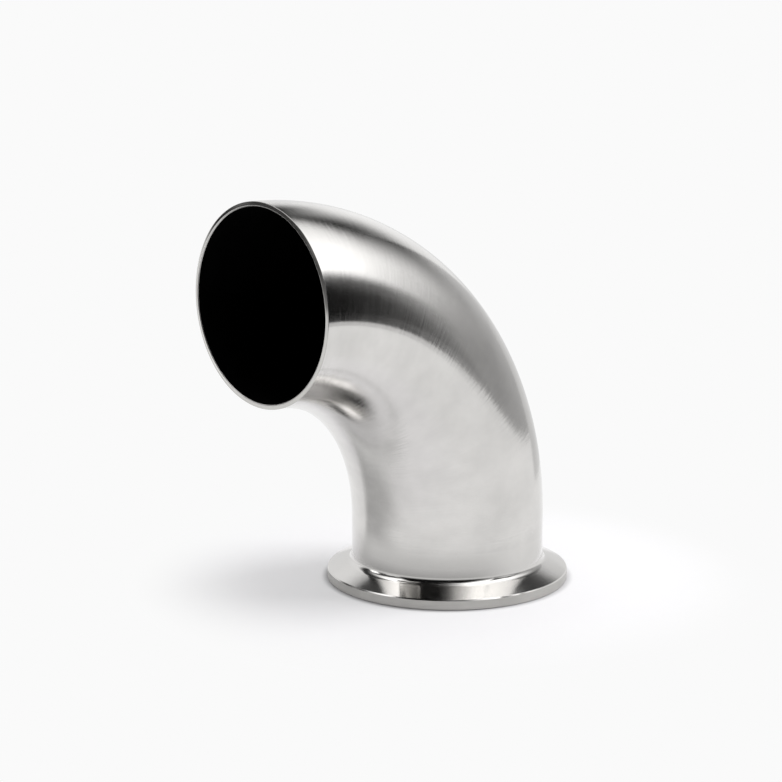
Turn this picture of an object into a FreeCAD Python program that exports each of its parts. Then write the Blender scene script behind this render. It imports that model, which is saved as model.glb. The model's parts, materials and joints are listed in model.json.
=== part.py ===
import FreeCAD, Part
import math
import os

# Sanitary ninety degree elbow, two inch size, in stainless steel.
# A formed tube bend with a square cut weld end is welded flush to a turned
# clamp ferrule. The fitting stands on the ferrule's sealing face.
#
# Row frame: the origin is the centre of the sealing face, +Z runs up the
# clamp end's axis into the fitting, and the weld end opens towards -X.
# Lengths are in millimetres and angles in degrees.

# Tube bend
tube_outer_diameter = 50.8
tube_wall = 1.2
bend_radius = 63.5
bend_angle = 90.0
lower_tangent = 4.3
mouth_deburr = 0.25

# Clamp ferrule
ferrule_height = 12.7
flange_overhang = 6.6
rim_thickness = 2.75
clamp_cone_angle = 20.0
root_fillet = 2.0
rim_chamfer = 0.25

# Gasket groove in the sealing face: a half round with broken lips
groove_inset = 3.8
groove_radius = 1.6
groove_lip_chamfer = 0.15

# Sizes that follow from the ones above
tube_radius = tube_outer_diameter / 2
bore_radius = tube_radius - tube_wall
rim_radius = tube_radius + flange_overhang
groove_centre_radius = rim_radius - groove_inset
cone_rise = flange_overhang * math.tan(math.radians(clamp_cone_angle))
bend_start_height = ferrule_height + lower_tangent

# How near a measured edge has to lie to the size it is picked by
pick_tolerance = 1e-4

UP = FreeCAD.Vector(0, 0, 1)
ALONG_X = FreeCAD.Vector(1, 0, 0)
BEND_TURN_AXIS = FreeCAD.Vector(0, -1, 0)
FACE_CENTRE = FreeCAD.Vector(0, 0, 0)


def section_point(radius, height):
    """A point of a half section, out from the clamp end's axis and up from the sealing face."""
    return FreeCAD.Vector(radius, 0, height)


def round_edges(shape, radius, height):
    """The full circle edges about the clamp end's axis at one radius and height."""
    centre = UP * height
    found = []
    for edge in shape.Edges:
        curve = edge.Curve
        if not isinstance(curve, Part.Circle):
            continue
        same_size = abs(curve.Radius - radius) < pick_tolerance
        if same_size and (curve.Center - centre).Length < pick_tolerance:
            found.append(edge)
    return found


def ring_face(height):
    """The tube's cross section, square to the clamp end's axis."""
    centre = UP * height
    outside = Part.Face(Part.Wire(Part.makeCircle(tube_radius, centre, UP)))
    inside = Part.Face(Part.Wire(Part.makeCircle(bore_radius, centre, UP)))
    return outside.cut(inside).Faces[0]


def make_bend_tube():
    """The tube: a short straight run up from the weld, then the bend to the square cut mouth."""
    bend_centre = section_point(-bend_radius, bend_start_height)
    tangent = ring_face(ferrule_height).extrude(UP * lower_tangent)
    bend = ring_face(bend_start_height).revolve(bend_centre, BEND_TURN_AXIS, bend_angle)
    tube = tangent.fuse(bend).removeSplitter()

    # A cone that is flush with the chamfer, from just outside the mouth to well inside the bore
    turn = FreeCAD.Rotation(BEND_TURN_AXIS, bend_angle)
    way_out = turn.multVec(UP)
    mouth_centre = bend_centre + turn.multVec(ALONG_X * bend_radius)
    deburr_cutter = Part.makeCone(bore_radius + 2 * mouth_deburr, bore_radius - mouth_deburr,
                                  3 * mouth_deburr, mouth_centre + way_out * mouth_deburr,
                                  way_out * -1)
    return tube.cut(deburr_cutter)


def ferrule_outline():
    """The ferrule's half section before the groove is cut: bore, sealing face, rim, clamp cone and neck."""
    neck_root = rim_thickness + cone_rise
    # The root's arc is tangent to the cone and to the neck
    turn = math.radians(90 - clamp_cone_angle)
    run = root_fillet * math.tan(turn / 2)
    cone_way = math.radians(clamp_cone_angle)
    arc_centre = section_point(tube_radius + root_fillet, neck_root + run)
    arc_start = section_point(tube_radius + run * math.cos(cone_way),
                              neck_root - run * math.sin(cone_way))
    arc_end = section_point(tube_radius, neck_root + run)
    middle = math.pi + turn / 2
    arc_middle = arc_centre + section_point(math.cos(middle), math.sin(middle)) * root_fillet

    before = [
        section_point(tube_radius, ferrule_height),
        section_point(bore_radius, ferrule_height),
        section_point(bore_radius, 0),
        section_point(rim_radius, 0),
        section_point(rim_radius, rim_thickness),
        arc_start,
    ]
    runs = [Part.makeLine(a, b) for a, b in zip(before, before[1:])]
    root = Part.Arc(arc_start, arc_middle, arc_end).toShape()
    neck = Part.makeLine(arc_end, before[0])
    return Part.Wire(runs + [root, neck])


def make_clamp_ferrule():
    """The ferrule, turned in one piece, with its gasket groove and its edges broken."""
    blank = Part.Face(ferrule_outline()).revolve(FACE_CENTRE, UP, 360)
    ferrule = blank.cut(Part.makeTorus(groove_centre_radius, groove_radius))

    rim_edges = round_edges(ferrule, rim_radius, 0) + round_edges(ferrule, rim_radius, rim_thickness)
    ferrule = ferrule.makeChamfer(rim_chamfer, rim_edges)
    inner_lip = round_edges(ferrule, groove_centre_radius - groove_radius, 0)
    outer_lip = round_edges(ferrule, groove_centre_radius + groove_radius, 0)
    return ferrule.makeChamfer(groove_lip_chamfer, inner_lip + outer_lip)


def save(name, shape):
    """Writes one sub-part and says what it measures."""
    shape.exportStep(os.path.join("parts", name + ".step"))
    print(name, "solids", len(shape.Solids), "valid", shape.isValid(),
          "volume", round(shape.Volume, 1))


os.makedirs("parts", exist_ok=True)
save("bend_tube", make_bend_tube())
save("clamp_ferrule", make_clamp_ferrule())
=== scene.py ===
import json
import math
from typing import NamedTuple

import bmesh
import bpy
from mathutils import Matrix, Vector


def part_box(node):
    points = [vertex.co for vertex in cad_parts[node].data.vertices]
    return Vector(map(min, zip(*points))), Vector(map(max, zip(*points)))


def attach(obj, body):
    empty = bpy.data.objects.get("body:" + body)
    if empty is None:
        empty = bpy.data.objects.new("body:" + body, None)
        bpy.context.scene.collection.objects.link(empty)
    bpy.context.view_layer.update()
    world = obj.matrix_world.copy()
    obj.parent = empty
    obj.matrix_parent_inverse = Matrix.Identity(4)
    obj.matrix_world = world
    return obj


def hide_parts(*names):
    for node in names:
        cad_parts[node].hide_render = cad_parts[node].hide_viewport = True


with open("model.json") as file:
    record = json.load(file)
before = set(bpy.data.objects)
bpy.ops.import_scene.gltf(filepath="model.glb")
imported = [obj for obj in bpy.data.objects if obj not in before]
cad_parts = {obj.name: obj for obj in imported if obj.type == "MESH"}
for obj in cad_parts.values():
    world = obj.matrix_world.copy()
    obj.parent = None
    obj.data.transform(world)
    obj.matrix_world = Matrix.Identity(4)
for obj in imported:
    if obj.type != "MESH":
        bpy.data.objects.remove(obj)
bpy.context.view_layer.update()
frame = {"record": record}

bl_info = {
    "name": "Sanitary ninety degree elbow",
    "version": (1, 0, 0),
    "blender": (4, 5, 0),
    "location": "3D View > Sidebar > Elbow",
    "description": "Dresses a stainless sanitary elbow and sets up its studio",
    "category": "Object",
}

# Lengths are in metres, and angles in degrees where a name says so. The frame
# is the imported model's: the origin is the centre of the sealing face, +Z runs
# up the clamp end's axis and the mouth of the tube opens towards -X.

MM = 0.001
FULL_TURN = 2 * math.pi
ROOT_BODY = "root"
TUBE_NODE = "bend_tube"
FERRULE_NODE = "clamp_ferrule"

MOUNTS = {mount["name"]: mount for mount in frame["record"]["mounts"]}
TUBE_LOW, TUBE_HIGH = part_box(TUBE_NODE)
FERRULE_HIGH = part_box(FERRULE_NODE)[1]
BORE_RADIUS = MOUNTS["clamp_end_bore"]["dims"]["r_mm"] * MM
STRAIGHT_BORE = MOUNTS["clamp_end_bore"]["dims"]["length_mm"] * MM


def length(name, description, default):
    """A size that the sidebar shows in the scene's length unit."""
    return bpy.props.FloatProperty(name=name, description=description, default=default, min=0.0,
                                   unit="LENGTH", precision=5)


def share(name, description, default):
    """A plain number from 0 to 1."""
    return bpy.props.FloatProperty(name=name, description=description, default=default, min=0.0,
                                   max=1.0, precision=3)


def colour(name, description, default):
    """A colour in the scene's linear light."""
    return bpy.props.FloatVectorProperty(name=name, description=description, default=default,
                                         size=3, min=0.0, max=1.0, subtype="COLOR")


def angle(name, description, degrees):
    """An angle, held in radians as the sidebar expects."""
    return bpy.props.FloatProperty(name=name, description=description,
                                   default=math.radians(degrees), unit="ROTATION", precision=4)


class ElbowTubeSizes(bpy.types.PropertyGroup):
    """The formed tube: a short straight run, the bend and the square cut mouth."""

    outer_radius: length("Outer radius", "Half of the tube's outside diameter", TUBE_HIGH.y)
    bore_radius: length("Bore radius", "Half of the tube's inside diameter", BORE_RADIUS)
    bend_radius: length("Bend radius", "From the turn axis to the tube's centre line", -TUBE_LOW.x)
    weld_height: length("Weld height", "Height of the flush weld to the ferrule", TUBE_LOW.z)
    bend_start: length("Bend start", "Height at which the bend begins", STRAIGHT_BORE)
    deburr: length("Mouth deburr", "Leg of the chamfer inside the mouth", 0.25 * MM)
    edge_break: length("Edge break", "Radius the brush leaves on the mouth's outer edge", 0.08 * MM)
    mouth_flat: length("Mouth flat", "Width of the mouth's face that is still square", 0.15 * MM)
    mouth_crown: angle("Mouth crown", "Lean of the rest of the face, left by the brush", 13.0)
    crown_radius: length("Crown radius", "Curve between the square and the leaning part", 1.0 * MM)


class ElbowFerruleSizes(bpy.types.PropertyGroup):
    """The turned clamp ferrule."""

    rim_radius: length("Rim radius", "Half of the flange's diameter", FERRULE_HIGH.x)
    rim_thickness: length("Rim thickness", "Height of the rim band", 2.75 * MM)
    rim_chamfer: length("Rim chamfer", "Leg of the chamfers on the rim", 0.25 * MM)
    cone: angle("Clamp cone", "Slope of the clamp cone against the sealing face", 20.0)
    root_radius: length("Root radius", "Concave radius between cone and neck", 2.0 * MM)
    groove_centre: length("Groove centre", "Radius of the gasket groove's circle", 28.2 * MM)
    groove_radius: length("Groove radius", "Radius of the half round groove", 1.6 * MM)
    lip_chamfer: length("Lip chamfer", "Leg of the chamfers on the groove's lips", 0.15 * MM)
    edge_break: length("Edge break", "Radius left on every turned edge", 0.06 * MM)


class ElbowFinish(bpy.types.PropertyGroup):
    """Colours and polish of the steel."""

    steel: colour("Steel", "Reflectance of the polished stainless steel", (0.700, 0.688, 0.672))
    cut_steel: colour("Cut steel", "Reflectance of freshly cut faces", (0.62, 0.61, 0.59))
    rim_steel: colour("Rim steel", "Reflectance of the turned rim band", (0.54, 0.532, 0.512))
    # The bore colour is painted shade: near-black steel that keeps the insides of the bend and the
    # ferrule dark as if deep in shadow
    bore: colour("Bore", "Dull scale that keeps the bend's inside black", (0.012, 0.012, 0.012))
    tube_roughness: share("Tube roughness", "Polish of the tube's outside and the neck", 0.11)
    mouth_roughness: share("Mouth roughness", "Polish of the mouth's cut face", 0.1)
    lip_roughness: share("Lip roughness", "Brushed chamfer inside the mouth", 0.45)
    # Roughness of the painted-shade bore inside the bend
    tube_bore_roughness: share("Tube bore roughness", "Scale inside the bend", 0.5)
    cone_roughness: share("Cone roughness", "Polish of the clamp cone", 0.12)
    edge_roughness: share("Edge roughness", "Polish of the ferrule's broken edges", 0.12)
    rim_roughness: share("Rim roughness", "Fine turned finish of the rim band", 0.45)
    face_roughness: share("Face roughness", "Turned finish of the sealing face and groove", 0.3)
    # Roughness of the painted-shade bore inside the ferrule
    ferrule_bore_roughness: share("Ferrule bore roughness", "Scale inside the ferrule", 0.4)
    tube_grain: share("Tube grain", "How far the polish runs around the tube and the neck", 0.6)
    mouth_grain: share("Mouth grain", "How far the cut runs around the mouth", 0.3)
    turned_grain: share("Turned grain", "How far the lathe's marks run around the ferrule", 0.5)


class ElbowStudio(bpy.types.PropertyGroup):
    """The floor, the surroundings, the lamp and the camera."""

    white: share("White", "Brightness of the far floor and the surroundings", 0.956)
    soft_light: share("Soft light", "Even light that the surroundings cast", 0.655)
    floor: colour("Floor", "Colour of the floor close to the foot", (0.655, 0.65, 0.665))
    floor_glow: share("Floor glow", "Brightness added to the floor close to the foot", 0.3)
    key_power: bpy.props.FloatProperty(name="Key power", description="Power of the soft top lamp",
                                       default=5.45, unit="POWER")
    key_width: length("Key width", "Long side of the soft top lamp", 550 * MM)
    key_depth: length("Key depth", "Short side of the soft top lamp", 420 * MM)
    key_distance: length("Key distance", "From the middle of the studio to the lamp", 850 * MM)
    key_azimuth: angle("Key azimuth", "Zero is towards -Y and a quarter turn towards +X", 57.0)
    key_elevation: angle("Key elevation", "Above the floor", 36.0)
    target_height: length("Target height", "Height that the camera looks at", 50.252 * MM)
    target_left: length("Target offset", "How far left of the clamp axis the camera looks",
                        14.987 * MM)
    camera_distance: length("Camera distance", "From the target to the camera", 602.574 * MM)
    camera_azimuth: angle("Camera azimuth", "Zero looks along +Y", -42.458)
    camera_elevation: angle("Camera elevation", "Above the floor", 12.164)
    lens: bpy.props.FloatProperty(name="Lens", description="Focal length on a 36 mm sensor",
                                  default=105.393, subtype="DISTANCE_CAMERA")


def collection_for(name):
    """The collection with that name, made if it isn't there."""
    found = bpy.data.collections.get(name)
    if found is None:
        found = bpy.data.collections.new(name)
        bpy.context.scene.collection.children.link(found)
    return found


def direction(azimuth, elevation):
    """The unit vector towards a point of the surroundings, from angles in radians."""
    level = math.cos(elevation)
    return Vector((math.sin(azimuth) * level, -math.cos(azimuth) * level, math.sin(elevation)))


# Walls of steel. A section is drawn once, as places along a centre line and
# radii from it, and then swept around that line.

ARC_STEP_DEGREES = 9.0
FEWEST_ARC_STEPS = 3
COLUMNS_AROUND = 256
TUBE_STEP = 1.0 * MM
GROOVE_STEPS = 24
SHARP_EDGE_DEGREES = 50
GRAIN_MAP = "grain"

# A long run gets a row this close to each of its ends, so that a rounded edge
# doesn't bend the shading of the flat beside it
HOLD_LENGTH = 0.05 * MM
SHORTEST_HELD_RUN = 4 * HOLD_LENGTH


class Corner:
    """A corner of a section. The finish and the step are those of the run that follows it."""

    def __init__(self, along, radius, finish, rounding=0.0, step=None):
        self.at = Vector((along, radius))
        self.finish = finish
        self.rounding = rounding
        self.step = step


def corner_points(before, corner, after):
    """The corner itself, or the arc that rounds it, as points of the section."""
    if corner.rounding <= 0.0:
        return [corner.at.copy()]
    inward = (before.at - corner.at).normalized()
    outward = (after.at - corner.at).normalized()
    half = inward.angle(outward) / 2
    setback = corner.rounding / math.tan(half)
    centre = corner.at + (inward + outward).normalized() * (corner.rounding / math.sin(half))
    first = corner.at + inward * setback - centre
    last = corner.at + outward * setback - centre
    sweep = math.pi - 2 * half
    count = max(FEWEST_ARC_STEPS, math.ceil(math.degrees(sweep) / ARC_STEP_DEGREES))
    points = []
    for index in range(count + 1):
        part = index / count
        blend = first * math.sin((1 - part) * sweep) + last * math.sin(part * sweep)
        points.append(centre + blend / math.sin(sweep))
    return points


def section_rows(corners):
    """The closed section as (along, radius, finish of the strip to the next row)."""
    arcs = []
    for index, corner in enumerate(corners):
        after = corners[(index + 1) % len(corners)]
        arcs.append(corner_points(corners[index - 1], corner, after))
    rows = []
    for index, corner in enumerate(corners):
        finish = corner.finish
        rows += [(point.x, point.y, finish) for point in arcs[index]]
        start = arcs[index][-1]
        run = arcs[(index + 1) % len(corners)][0] - start
        if run.length > SHORTEST_HELD_RUN:
            stops = [HOLD_LENGTH / run.length, 1 - HOLD_LENGTH / run.length]
            if corner.step:
                count = max(2, round(run.length / corner.step))
                stops[1:1] = [i / count for i in range(1, count)]
            rows += [(*(start + run * stop), finish) for stop in stops]
    return rows


def sweep_section(name, rows, place):
    """A closed wall, each row of the section a ring about the centre line, and the
    section's length. The grain map runs once along the section and once around."""
    mesh = bpy.data.meshes.new(name)
    work = bmesh.new()
    grain = work.loops.layers.uv.new(GRAIN_MAP)
    rings = []
    for along, radius, _ in rows:
        rings.append([work.verts.new(place(along, radius, FULL_TURN * column / COLUMNS_AROUND))
                      for column in range(COLUMNS_AROUND)])
    reach = [0.0]
    for index in range(len(rows)):
        here = Vector(rows[index][:2])
        there = Vector(rows[(index + 1) % len(rows)][:2])
        reach.append(reach[-1] + (there - here).length)
    total = reach[-1]
    for index, (_, _, finish) in enumerate(rows):
        ring = rings[index]
        following = rings[(index + 1) % len(rows)]
        near, far = reach[index] / total, reach[index + 1] / total
        for column in range(COLUMNS_AROUND):
            beyond = (column + 1) % COLUMNS_AROUND
            left, right = column / COLUMNS_AROUND, (column + 1) / COLUMNS_AROUND
            face = work.faces.new((ring[column], ring[beyond], following[beyond],
                                   following[column]))
            face.smooth = True
            face.material_index = finish
            spots = ((near, left), (near, right), (far, right), (far, left))
            for loop, spot in zip(face.loops, spots):
                loop[grain].uv = spot
    bmesh.ops.recalc_face_normals(work, faces=work.faces)
    work.to_mesh(mesh)
    work.free()
    mesh.set_sharp_from_angle(angle=math.radians(SHARP_EDGE_DEGREES))
    return mesh, total


# Materials

# Places of a Mix node's sockets for colours, whose names its other sockets share
MIX_PART, MIX_FIRST, MIX_SECOND, MIX_COLOUR = 0, 6, 7, 2

# Nearly all of a noise's values lie between these two
NOISE_LOW, NOISE_HIGH = 0.25, 0.75

# How far the roughness of the fine lines varies, as a share of the finish's own
ROUGH_SPREAD = 0.25


class Pattern(NamedTuple):
    """A noise that closes up around a piece."""

    around: float  # steps of the noise for each radian around
    length: float  # of one step along the section, in metres
    detail: float
    roughness: float


# Patches that the buffing wheel left a little duller, and its slow waves
CLOUDS = Pattern(around=1.8, length=14 * MM, detail=3.0, roughness=0.6)
WAVES = Pattern(around=1.1, length=22 * MM, detail=1.0, roughness=0.4)


def brush_lines(width):
    """Fine lines around the piece, of that width in metres."""
    return Pattern(around=2.6, length=width, detail=4.0, roughness=0.65)


def add_node(tree, kind, inputs=None, **settings):
    """A node with its settings, its inputs set to values or linked to sockets."""
    node = tree.nodes.new(kind)
    for key, value in settings.items():
        setattr(node, key, value)
    for key, value in (inputs or {}).items():
        if isinstance(value, bpy.types.NodeSocket):
            tree.links.new(value, node.inputs[key])
        else:
            node.inputs[key].default_value = value
    return node


def new_material(name):
    """A material with an empty node tree."""
    material = bpy.data.materials.new(name)
    material.use_nodes = True
    material.node_tree.nodes.clear()
    return material, material.node_tree


def maths(tree, operation, *values):
    """The result of a Math node."""
    return add_node(tree, "ShaderNodeMath", dict(enumerate(values)), operation=operation).outputs[0]


def opaque(rgb):
    """A colour with full cover, as sockets expect it."""
    return (*rgb, 1.0)


def noise(tree, pattern, total):
    """The pattern's noise from 0 to 1, on a section that is that long in all."""
    grain = add_node(tree, "ShaderNodeUVMap", uv_map=GRAIN_MAP)
    parts = add_node(tree, "ShaderNodeSeparateXYZ", {"Vector": grain.outputs["UV"]})
    turn = maths(tree, "MULTIPLY", parts.outputs["Y"], FULL_TURN)
    x = maths(tree, "MULTIPLY", maths(tree, "COSINE", turn), pattern.around)
    y = maths(tree, "MULTIPLY", maths(tree, "SINE", turn), pattern.around)
    z = maths(tree, "MULTIPLY", parts.outputs["X"], total / pattern.length)
    place = add_node(tree, "ShaderNodeCombineXYZ", {"X": x, "Y": y, "Z": z}).outputs[0]
    return add_node(tree, "ShaderNodeTexNoise",
                    {"Vector": place, "Scale": 1.0, "Detail": pattern.detail,
                     "Roughness": pattern.roughness}).outputs["Fac"]


def spread(tree, value, low, high):
    """A noise moved to the range from low to high."""
    return add_node(tree, "ShaderNodeMapRange",
                    {"Value": value, "From Min": NOISE_LOW, "From Max": NOISE_HIGH,
                     "To Min": low, "To Max": high}).outputs["Result"]


def steel_material(name, rgb, roughness, total, grain=0.0, mottle=0.0, line_width=0.6 * MM,
                   line_depth=0.0, wave_depth=0.0, shade=0.06):
    """Polished steel: fine lines around the piece, soft mottling and slight waves."""
    material, tree = new_material(name)
    lines = noise(tree, brush_lines(line_width), total)
    clouds = noise(tree, CLOUDS, total)
    waves = noise(tree, WAVES, total) if wave_depth else None
    darker = opaque([channel * (1 - shade) for channel in rgb])
    lighter = opaque([min(1.0, channel * (1 + shade / 2)) for channel in rgb])
    tone = add_node(tree, "ShaderNodeMix",
                    {MIX_PART: spread(tree, clouds, 0.0, 1.0), MIX_FIRST: darker,
                     MIX_SECOND: lighter}, data_type="RGBA").outputs[MIX_COLOUR]
    lined = spread(tree, lines, roughness * (1 - ROUGH_SPREAD), roughness * (1 + ROUGH_SPREAD))
    rough = maths(tree, "MULTIPLY", lined, spread(tree, clouds, 1 - mottle, 1 + mottle))
    shader = add_node(tree, "ShaderNodeBsdfPrincipled",
                      {"Base Color": tone, "Metallic": 1.0, "Roughness": rough,
                       "Anisotropic": grain})
    if grain:
        tangent = add_node(tree, "ShaderNodeTangent", direction_type="UV_MAP", uv_map=GRAIN_MAP)
        tree.links.new(tangent.outputs["Tangent"], shader.inputs["Tangent"])
    normal = None
    for height, depth in ((waves, wave_depth), (lines, line_depth)):
        if depth:
            bump = add_node(tree, "ShaderNodeBump",
                            {"Height": height, "Distance": depth, "Strength": 1.0})
            if normal is not None:
                tree.links.new(normal, bump.inputs["Normal"])
            normal = bump.outputs["Normal"]
    if normal is not None:
        tree.links.new(normal, shader.inputs["Normal"])
    add_node(tree, "ShaderNodeOutputMaterial", {"Surface": shader.outputs["BSDF"]})
    return material


def dress(name, mesh, materials, node):
    """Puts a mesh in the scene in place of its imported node."""
    piece = bpy.data.objects.new(name, mesh)
    for material in materials:
        mesh.materials.append(material)
    collection_for("Elbow").objects.link(piece)
    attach(piece, ROOT_BODY)
    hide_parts(node)


class ELBOW_OT_make_tube(bpy.types.Operator):
    """Make the formed tube with its square cut mouth"""

    bl_idname = "elbow.make_tube"
    bl_label = "Make Tube"
    bl_options = {"REGISTER", "UNDO"}

    def execute(self, context):
        sizes = context.scene.elbow_tube
        tangent = sizes.bend_start - sizes.weld_height

        def place(along, radius, around):
            turn = max(0.0, along - tangent) / sizes.bend_radius
            out = Vector((math.cos(turn), 0.0, math.sin(turn)))
            centre = Vector((-sizes.bend_radius, 0.0, sizes.bend_start)) + out * sizes.bend_radius
            centre.z -= max(0.0, tangent - along)
            return centre + (out * math.cos(around) + Vector((0, 1, 0)) * math.sin(around)) * radius

        reach = tangent + sizes.bend_radius * math.pi / 2
        mesh, total = sweep_section("elbow_tube", section_rows(self.corners(sizes, reach)), place)
        finish = context.scene.elbow_finish
        materials = [
            steel_material("satin_tube_steel", finish.steel, finish.tube_roughness, total,
                           grain=finish.tube_grain, mottle=0.2, line_width=0.8 * MM,
                           line_depth=0.018 * MM, wave_depth=0.06 * MM, shade=0.12),
            steel_material("cut_mouth_steel", finish.cut_steel, finish.mouth_roughness, total,
                           grain=finish.mouth_grain, line_width=0.25 * MM,
                           line_depth=0.002 * MM, shade=0.15),
            steel_material("brushed_lip_steel", finish.steel, finish.lip_roughness, total),
            # Painted shade: the bend's inside, near black as if deep in shadow
            steel_material("painted_shade_tube_bore", finish.bore, finish.tube_bore_roughness, total),
        ]
        dress("elbow_tube", mesh, materials, TUBE_NODE)
        return {"FINISHED"}

    def corners(self, sizes, reach):
        """The tube's section, from the weld out to the mouth and back inside."""
        outside, mouth, lip, inside = range(4)
        flat_edge = sizes.bore_radius + sizes.deburr + sizes.mouth_flat
        crown_fall = (sizes.outer_radius - flat_edge) * math.tan(sizes.mouth_crown)
        lip_round = sizes.deburr / 3
        bore_round = sizes.deburr / 4
        return [
            Corner(0.0, sizes.outer_radius, outside, step=TUBE_STEP),
            Corner(reach - crown_fall, sizes.outer_radius, mouth, rounding=sizes.edge_break),
            Corner(reach, flat_edge, mouth, rounding=sizes.crown_radius),
            Corner(reach, sizes.bore_radius + sizes.deburr, lip, rounding=lip_round),
            Corner(reach - sizes.deburr, sizes.bore_radius, inside, rounding=bore_round,
                   step=TUBE_STEP),
            Corner(0.0, sizes.bore_radius, inside),
        ]


class ELBOW_OT_make_ferrule(bpy.types.Operator):
    """Make the turned clamp ferrule"""

    bl_idname = "elbow.make_ferrule"
    bl_label = "Make Ferrule"
    bl_options = {"REGISTER", "UNDO"}

    def execute(self, context):
        def place(height, radius, around):
            return Vector((radius * math.cos(around), radius * math.sin(around), height))

        corners = self.corners(context.scene.elbow_ferrule, context.scene.elbow_tube)
        mesh, total = sweep_section("ferrule_body", section_rows(corners), place)
        finish = context.scene.elbow_finish
        turned = finish.turned_grain
        materials = [
            steel_material("polished_neck_steel", finish.steel, finish.tube_roughness, total,
                           grain=finish.tube_grain, mottle=0.15),
            steel_material("mirror_cone_steel", finish.steel, finish.cone_roughness, total,
                           grain=turned),
            steel_material("broken_edge_steel", finish.steel, finish.edge_roughness, total),
            steel_material("turned_rim_steel", finish.rim_steel, finish.rim_roughness, total,
                           grain=turned, line_width=0.25 * MM, line_depth=0.01 * MM, shade=0.15),
            steel_material("turned_face_steel", finish.cut_steel, finish.face_roughness, total,
                           grain=turned),
            # Painted shade: the ferrule's inside, near black as if deep in shadow
            steel_material("painted_shade_ferrule_bore", finish.bore, finish.ferrule_bore_roughness, total),
        ]
        dress("ferrule_body", mesh, materials, FERRULE_NODE)
        return {"FINISHED"}

    def corners(self, sizes, tube):
        """The ferrule's section: down the neck and the rim, in along the face and up the bore."""
        neck, cone, edge, rim, face, bore = range(6)
        edge_break = sizes.edge_break
        chamfer = sizes.rim_chamfer
        cone_rise = (sizes.rim_radius - tube.outer_radius) * math.tan(sizes.cone)
        cone_leg = Vector((math.sin(sizes.cone), -math.cos(sizes.cone))) * chamfer
        lip = sizes.groove_radius + sizes.lip_chamfer
        corners = [
            Corner(tube.weld_height, tube.outer_radius, neck),
            Corner(sizes.rim_thickness + cone_rise, tube.outer_radius, cone,
                   rounding=sizes.root_radius),
            Corner(sizes.rim_thickness + cone_leg.x, sizes.rim_radius + cone_leg.y, edge,
                   rounding=edge_break),
            Corner(sizes.rim_thickness - chamfer, sizes.rim_radius, rim, rounding=edge_break),
            Corner(chamfer, sizes.rim_radius, edge, rounding=edge_break),
            Corner(0.0, sizes.rim_radius - chamfer, face, rounding=edge_break),
            Corner(0.0, sizes.groove_centre + lip, face, rounding=edge_break),
        ]
        drop = math.asin(sizes.lip_chamfer / sizes.groove_radius)
        for index in range(GROOVE_STEPS + 1):
            part = drop + (math.pi - 2 * drop) * index / GROOVE_STEPS
            corners.append(Corner(sizes.groove_radius * math.sin(part),
                                  sizes.groove_centre + sizes.groove_radius * math.cos(part), face))
        return corners + [
            Corner(0.0, sizes.groove_centre - lip, face, rounding=edge_break),
            Corner(0.0, tube.bore_radius, bore, rounding=edge_break),
            Corner(tube.weld_height, tube.bore_radius, bore),
        ]


# The studio. The steel is close to a mirror, so its look is mostly what stands
# around it: soft sheets, and cards on the floor and strips round the foot that
# are painted shadow and painted light of the floor. Only reflections see them,
# and none of them casts light or shade.

STUDIO_CENTRE = Vector((-20 * MM, 0.0, 60 * MM))


class Sheet(NamedTuple):
    """A curved studio panel as seen from the object. Angles are in degrees."""

    name: str
    azimuth: float  # of its middle; zero is towards -Y and a quarter turn towards +X
    elevation: float
    half_width: float
    half_height: float
    lean: float  # degrees of azimuth that its sides move for each degree up
    slope: float  # degrees that its top and bottom edges rise for each degree of azimuth
    levels: tuple  # brightness at bottom left, bottom right, top left and top right
    fades: tuple  # share of its size over which each edge melts away: left, right, bottom, top
    distance: float


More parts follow.
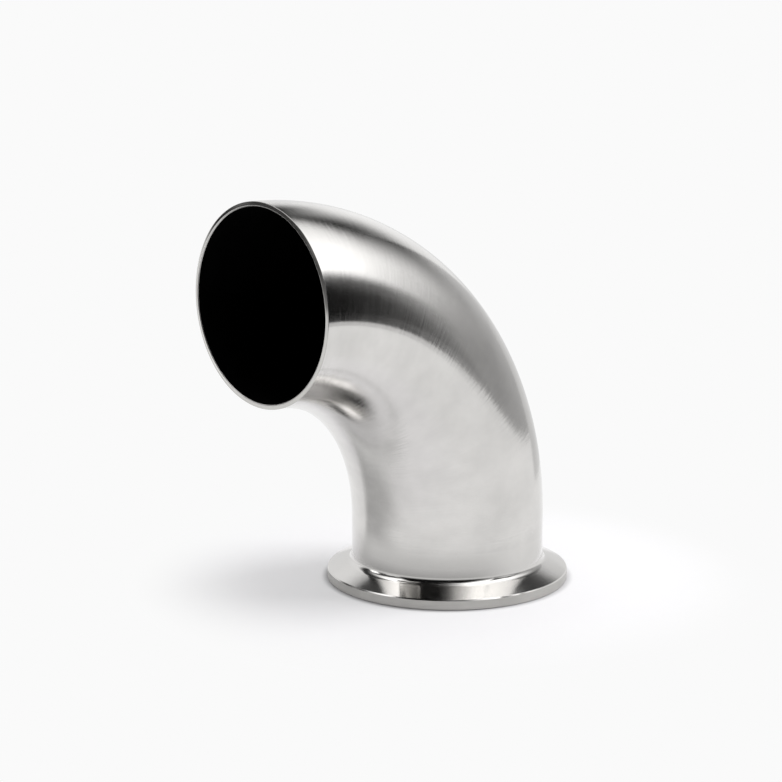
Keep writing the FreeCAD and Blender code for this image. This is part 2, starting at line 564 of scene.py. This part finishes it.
SHEETS = (
    Sheet("key_sheet", 51.4, 46.4, 77.6, 41.8, -0.54, 0.44,
          (2.31, 1.87, 2.18, 2.29), (0.19, 0.69, 0.63, 0.20), 0.709),
    Sheet("back_left_sheet", -152.6, 51.4, 47.1, 13.3, 0.61, -0.28,
          (2.11, 2.28, 2.21, 2.40), (0.21, 0.10, 0.80, 0.34), 1.092),
    Sheet("dark_corner", 33.4, -8.9, 18.9, 38.5, 0.13, -1.15,
          (0.01, 0.00, 0.01, 0.00), (0.07, 0.54, 0.19, 0.21), 0.343),
    Sheet("grey_side", 104.4, 7.0, 57.3, 34.7, -1.14, 0.46,
          (0.86, 0.42, 0.10, 0.00), (0.11, 0.87, 0.09, 0.42), 0.354),
    Sheet("dark_strip", 127.8, 39.1, 57.2, 21.2, -0.23, 0.28,
          (0.01, 0.02, 0.00, 0.01), (0.34, 0.20, 0.42, 0.32), 0.701),
    Sheet("fill_sheet", 126.6, 32.9, 19.8, 28.5, -0.43, 0.69,
          (0.93, 1.29, 1.07, 0.90), (0.09, 0.50, 0.33, 0.60), 0.190),
    Sheet("dark_above_camera", -45.8, 50.6, 60.7, 34.6, -0.05, 0.25,
          (0.00, 0.02, 0.00, 0.04), (0.08, 0.61, 0.16, 0.08), 0.897),
    Sheet("dark_below_camera", -51.0, -17.7, 86.5, 48.1, -0.74, 0.36,
          (0.10, 0.00, 0.00, 0.00), (0.46, 0.20, 0.56, 0.13), 0.269),
    Sheet("dark_low_left", -167.3, 30.8, 70.4, 23.4, 0.23, -1.23,
          (0.01, 0.00, 0.14, 0.06), (0.31, 0.08, 0.33, 0.53), 0.441),
    Sheet("dark_corner_top", 45.0, 5.6, 13.1, 18.0, 0.51, -1.45,
          (0.11, 0.26, 0.05, 0.14), (0.16, 0.64, 0.42, 0.26), 0.631),
    Sheet("dark_behind", 170.3, 36.9, 26.4, 6.6, -0.11, -0.27,
          (0.02, 0.01, 0.10, 0.06), (0.31, 0.29, 0.19, 0.30), 0.615),
    Sheet("dark_behind_mouth", -128.0, 14.0, 27.0, 15.5, 0.00, 0.00,
          (0.06, 0.06, 0.06, 0.06), (0.30, 0.20, 0.16, 0.20), 0.330),
    Sheet("pale_low_left", -109.0, -7.5, 14.0, 9.0, 0.00, 0.00,
          (0.98, 0.98, 0.98, 0.98), (0.30, 0.30, 0.35, 0.20), 0.190),
    Sheet("pale_side", 116.5, -4.0, 26.5, 18.0, 0.70, 0.00,
          (0.66, 0.86, 0.70, 0.90), (0.12, 0.32, 0.10, 0.45), 0.183),
    Sheet("low_glint", -139.0, -2.5, 9.5, 13.5, 0.00, 0.00,
          (1.70, 1.70, 2.10, 2.10), (0.30, 0.30, 0.15, 0.30), 0.200),
)


class Card(NamedTuple):
    """A card on the floor that only reflections show: painted shadow where it is dark, painted
    light where it is pale. Lengths are in metres.
    """

    name: str
    middle: tuple
    turn: float  # in degrees; zero points its far end towards -Y
    half_width: float
    half_length: float
    levels: tuple  # as for a sheet, with its near end as the bottom
    fades: tuple


CARDS = (
    # Painted shadow: the object's shadow on the floor behind it, as the steel reflects it
    Card("painted_shadow_behind", (-0.072, 0.046), -146.0, 0.036, 0.050, (0.50, 0.50, 0.50, 0.50),
         (0.20, 0.60, 0.20, 0.40)),
    # Painted light: a lit patch of floor right of the foot, as the steel reflects it
    Card("painted_light_right", (0.030, -0.052), 30.0, 0.035, 0.024, (0.95, 0.95, 0.95, 0.95),
         (0.40, 0.40, 0.20, 0.40)),
    # Painted shade: a darker stretch of floor to the left, as the steel reflects it
    Card("painted_shade_left", (-0.2075, -0.0125), -90.0, 0.1125, 0.0925, (0.30, 0.30, 0.30, 0.30),
         (0.62, 0.30, 0.20, 0.40)),
)
CARD_LIFT = 0.2 * MM


class Band(NamedTuple):
    """A strip round the foot that only reflections show: painted contact shade where it is dark,
    painted light where it is pale. Lengths are in metres.
    """

    name: str
    azimuth: float  # of its middle, in degrees, as for a sheet
    half_sweep: float
    low: tuple  # radius and height of its bottom edge
    high: tuple
    levels: tuple  # as for a sheet
    fades: tuple


BANDS = (
    # Painted contact shade round the foot, darkest low down, as the steel reflects the floor there
    Band("painted_foot_shade", -35.0, 125.0, (0.0420, 0.0001), (0.0440, 0.0110),
         (0.54, 0.60, 0.86, 0.92), (0.20, 0.42, 0.05, 0.50)),
    # More painted contact shade, darker, at the very foot
    Band("painted_foot_shade_low", -60.0, 80.0, (0.0414, 0.0001), (0.0418, 0.0038),
         (0.34, 0.30, 0.66, 0.64), (0.20, 0.40, 0.02, 0.25)),
    # Painted light right of the foot, a little darker at its bottom
    Band("foot_glow", 28.0, 64.0, (0.0400, 0.0001), (0.0410, 0.0110),
         (0.76, 0.90, 0.98, 0.98), (0.50, 0.30, 0.05, 0.40)),
    Band("foot_glint", 13.0, 19.0, (0.0510, 0.0110), (0.0540, 0.0230),
         (0.92, 0.92, 0.92, 0.92), (0.45, 0.45, 0.35, 0.55)),
)


def curved_point(sheet, across, up):
    """A point of a sheet around the object; across and up run from -1 to 1."""
    azimuth = sheet.azimuth + across * sheet.half_width + up * sheet.half_height * sheet.lean
    elevation = sheet.elevation + up * sheet.half_height + across * sheet.half_width * sheet.slope
    way = direction(math.radians(azimuth), math.radians(elevation))
    return STUDIO_CENTRE + way * sheet.distance


def lying_point(card, across, up):
    """A point of a card on the floor; across and up run from -1 to 1."""
    along = direction(math.radians(card.turn), 0.0)
    side = Vector((-along.y, along.x, 0.0))
    middle = Vector((*card.middle, CARD_LIFT))
    return middle + along * (up * card.half_length) + side * (across * card.half_width)


def round_point(band, across, up):
    """A point of a strip round the foot; across and up run from -1 to 1."""
    radius, height = (low * (1 - up) / 2 + high * (1 + up) / 2
                      for low, high in zip(band.low, band.high))
    around = direction(math.radians(band.azimuth + across * band.half_sweep), 0.0)
    return around * radius + Vector((0, 0, height))


PANEL_KINDS = ((SHEETS, curved_point), (CARDS, lying_point), (BANDS, round_point))
PANEL_MAP = "panel"
PANEL_COLUMNS = 32
PANEL_ROWS = 16


def eased(tree, value, start, end):
    """Rises smoothly from 0 to 1 as the value goes from start to end."""
    return add_node(tree, "ShaderNodeMapRange",
                    {"Value": value, "From Min": start, "From Max": end},
                    interpolation_type="SMOOTHSTEP").outputs["Result"]


def blended(tree, part, first, last):
    """From first to last as part goes from 0 to 1."""
    return add_node(tree, "ShaderNodeMapRange",
                    {"Value": part, "To Min": first, "To Max": last}).outputs["Result"]


def panel_material(panel):
    """A pale or dark panel whose edges melt into what lies behind it."""
    material, tree = new_material(panel.name)
    material.cycles.emission_sampling = "NONE"
    spot = add_node(tree, "ShaderNodeUVMap", uv_map=PANEL_MAP)
    parts = add_node(tree, "ShaderNodeSeparateXYZ", {"Vector": spot.outputs["UV"]})
    across, up = parts.outputs["X"], parts.outputs["Y"]
    left, right, bottom, top = panel.fades
    sides = maths(tree, "MULTIPLY", eased(tree, across, 0.0, left),
                  eased(tree, maths(tree, "SUBTRACT", 1.0, across), 0.0, right))
    ends = maths(tree, "MULTIPLY", eased(tree, up, 0.0, bottom),
                 eased(tree, maths(tree, "SUBTRACT", 1.0, up), 0.0, top))
    cover = maths(tree, "MULTIPLY", sides, ends)
    low = blended(tree, across, *panel.levels[:2])
    high = blended(tree, across, *panel.levels[2:])
    glow = add_node(tree, "ShaderNodeEmission", {"Strength": blended(tree, up, low, high)})
    clear = add_node(tree, "ShaderNodeBsdfTransparent")
    mix = add_node(tree, "ShaderNodeMixShader",
                   {"Fac": cover, 1: clear.outputs[0], 2: glow.outputs[0]})
    add_node(tree, "ShaderNodeOutputMaterial", {"Surface": mix.outputs[0]})
    return material


def make_panel(panel, point):
    """One panel, which shows only in what the steel reflects."""
    mesh = bpy.data.meshes.new(panel.name)
    work = bmesh.new()
    spot = work.loops.layers.uv.new(PANEL_MAP)
    grid = [[work.verts.new(point(panel, 2 * column / PANEL_COLUMNS - 1, 2 * row / PANEL_ROWS - 1))
             for column in range(PANEL_COLUMNS + 1)] for row in range(PANEL_ROWS + 1)]
    for row in range(PANEL_ROWS):
        for column in range(PANEL_COLUMNS):
            places = ((row, column), (row, column + 1), (row + 1, column + 1), (row + 1, column))
            face = work.faces.new([grid[r][c] for r, c in places])
            face.smooth = True
            for loop, (r, c) in zip(face.loops, places):
                loop[spot].uv = (c / PANEL_COLUMNS, r / PANEL_ROWS)
    work.to_mesh(mesh)
    work.free()
    mesh.materials.append(panel_material(panel))
    shown = bpy.data.objects.new(panel.name, mesh)
    collection_for("Studio").objects.link(shown)
    shown.visible_camera = False
    shown.visible_diffuse = False
    shown.visible_shadow = False


WHITE = (1.0, 1.0, 1.0, 1.0)
FLOOR_RADIUS = 6.0
FLOOR_SEGMENTS = 96
FLOOR_DROP = 0.05 * MM

# Around the foot the floor is lit and takes the shadow, and between these two
# radii it melts into the plain glowing floor beyond
LIT_FLOOR_RADIUS, PLAIN_FLOOR_RADIUS = 46 * MM, 85 * MM

# The lit floor's own glow sets in at the rim and is full 2 mm outside it, which
# leaves a thin painted contact shadow along the rim on top of the real one
GLOW_START, GLOW_FULL = 31.8 * MM, 34.0 * MM

# Under the sealing face, between the bore and the rim, the floor is clear, so
# that the face and its groove are lit when they are seen from below
CLEAR_RING_MIDDLE, CLEAR_RING_HALF_WIDTH = 27.85 * MM, 3.6 * MM

# In millimetres, as the lens is
SENSOR_WIDTH = 36.0


class ELBOW_OT_make_studio(bpy.types.Operator):
    """Set up the floor, the soft light, the panels and the camera"""

    bl_idname = "elbow.make_studio"
    bl_label = "Make Studio"
    bl_options = {"REGISTER", "UNDO"}

    def execute(self, context):
        studio = context.scene.elbow_studio
        self.make_world(context, studio)
        self.make_floor(studio)
        self.make_lamp(studio)
        for panels, point in PANEL_KINDS:
            for panel in panels:
                make_panel(panel, point)
        self.make_camera(context, studio)
        context.scene.view_settings.view_transform = "Standard"
        return {"FINISHED"}

    def make_world(self, context, studio):
        """Even soft light, with a white that only the camera and reflections see."""
        world = bpy.data.worlds.new("studio_white")
        world.use_nodes = True
        tree = world.node_tree
        tree.nodes.clear()
        path = add_node(tree, "ShaderNodeLightPath")
        seen = maths(tree, "MAXIMUM", path.outputs["Is Camera Ray"], path.outputs["Is Glossy Ray"])
        seen = maths(tree, "MAXIMUM", seen, path.outputs["Is Transmission Ray"])
        strength = blended(tree, seen, studio.soft_light, studio.white)
        back = add_node(tree, "ShaderNodeBackground", {"Color": WHITE, "Strength": strength})
        add_node(tree, "ShaderNodeOutputWorld", {"Surface": back.outputs[0]})
        context.scene.world = world

    def make_floor(self, studio):
        """The pale floor, seen only from above."""
        mesh = bpy.data.meshes.new("pale_floor")
        work = bmesh.new()
        bmesh.ops.create_circle(work, cap_ends=True, radius=FLOOR_RADIUS, segments=FLOOR_SEGMENTS)
        work.to_mesh(mesh)
        work.free()
        mesh.materials.append(self.floor_material(studio))
        floor = bpy.data.objects.new("pale_floor", mesh)
        floor.location.z = -FLOOR_DROP
        collection_for("Studio").objects.link(floor)

    def floor_material(self, studio):
        """Lit and shadowed round the foot, plain white further out, and clear from below."""
        material, tree = new_material("pale_floor")
        material.cycles.emission_sampling = "NONE"
        place = add_node(tree, "ShaderNodeTexCoord").outputs["Object"]
        away = add_node(tree, "ShaderNodeVectorMath", {0: place}, operation="LENGTH")
        away = away.outputs["Value"]
        lit = add_node(tree, "ShaderNodeBsdfDiffuse", {"Color": opaque(studio.floor)})
        # Painted contact shadow: no glow right at the rim, full glow 2 mm out
        glow_level = maths(tree, "MULTIPLY", eased(tree, away, GLOW_START, GLOW_FULL),
                           studio.floor_glow)
        glow = add_node(tree, "ShaderNodeEmission", {"Color": WHITE, "Strength": glow_level})
        near = add_node(tree, "ShaderNodeAddShader", {0: lit.outputs[0], 1: glow.outputs[0]})
        far = add_node(tree, "ShaderNodeEmission", {"Color": WHITE, "Strength": studio.white})
        mix = add_node(tree, "ShaderNodeMixShader",
                       {"Fac": eased(tree, away, LIT_FLOOR_RADIUS, PLAIN_FLOOR_RADIUS),
                        1: near.outputs[0], 2: far.outputs[0]})
        back = add_node(tree, "ShaderNodeNewGeometry").outputs["Backfacing"]
        under_face = maths(tree, "COMPARE", away, CLEAR_RING_MIDDLE, CLEAR_RING_HALF_WIDTH)
        clear = add_node(tree, "ShaderNodeBsdfTransparent")
        sides = add_node(tree, "ShaderNodeMixShader",
                         {"Fac": maths(tree, "MAXIMUM", back, under_face),
                          1: mix.outputs[0], 2: clear.outputs[0]})
        add_node(tree, "ShaderNodeOutputMaterial", {"Surface": sides.outputs[0]})
        return material

    def make_lamp(self, studio):
        """The soft top lamp, which casts the shadow and isn't seen in the steel."""
        lamp = bpy.data.lights.new("key_softbox", "AREA")
        lamp.shape = "RECTANGLE"
        lamp.size = studio.key_width
        lamp.size_y = studio.key_depth
        lamp.energy = studio.key_power
        key = bpy.data.objects.new("key_softbox", lamp)
        way = direction(studio.key_azimuth, studio.key_elevation)
        key.location = STUDIO_CENTRE + way * studio.key_distance
        key.rotation_euler = (-way).to_track_quat("-Z", "Y").to_euler()
        key.visible_camera = False
        key.visible_glossy = False
        collection_for("Studio").objects.link(key)

    def make_camera(self, context, studio):
        """The camera, which looks at a point beside the clamp axis."""
        data = bpy.data.cameras.new("photo_camera")
        data.sensor_width = SENSOR_WIDTH
        data.lens = studio.lens
        camera = bpy.data.objects.new("photo_camera", data)
        right = Vector((math.cos(studio.camera_azimuth), math.sin(studio.camera_azimuth), 0.0))
        target = Vector((0, 0, studio.target_height)) - right * studio.target_left
        back = direction(studio.camera_azimuth, studio.camera_elevation)
        camera.location = target + back * studio.camera_distance
        camera.rotation_euler = (-back).to_track_quat("-Z", "Y").to_euler()
        collection_for("Studio").objects.link(camera)
        context.scene.camera = camera


GROUPS = {
    "elbow_tube": ElbowTubeSizes,
    "elbow_ferrule": ElbowFerruleSizes,
    "elbow_finish": ElbowFinish,
    "elbow_studio": ElbowStudio,
}
OPERATORS = (ELBOW_OT_make_tube, ELBOW_OT_make_ferrule, ELBOW_OT_make_studio)


class ELBOW_PT_sidebar(bpy.types.Panel):
    """Lists the elbow's sizes, finishes and makers"""

    bl_idname = "ELBOW_PT_sidebar"
    bl_label = "Sanitary Elbow"
    bl_space_type = "VIEW_3D"
    bl_region_type = "UI"
    bl_category = "Elbow"

    def draw(self, context):
        layout = self.layout
        layout.use_property_split = True
        for group_name, group in GROUPS.items():
            box = layout.box()
            for value_name in group.__annotations__:
                box.prop(getattr(context.scene, group_name), value_name)
        for maker in OPERATORS:
            layout.operator(maker.bl_idname)


def register():
    for name, group in GROUPS.items():
        bpy.utils.register_class(group)
        setattr(bpy.types.Scene, name, bpy.props.PointerProperty(type=group))
    for maker in (*OPERATORS, ELBOW_PT_sidebar):
        bpy.utils.register_class(maker)


def unregister():
    for maker in (ELBOW_PT_sidebar, *reversed(OPERATORS)):
        bpy.utils.unregister_class(maker)
    for name, group in reversed(GROUPS.items()):
        delattr(bpy.types.Scene, name)
        bpy.utils.unregister_class(group)


def main():
    register()
    bpy.ops.elbow.make_tube()
    bpy.ops.elbow.make_ferrule()
    bpy.ops.elbow.make_studio()


if __name__ == "__main__":
    main()
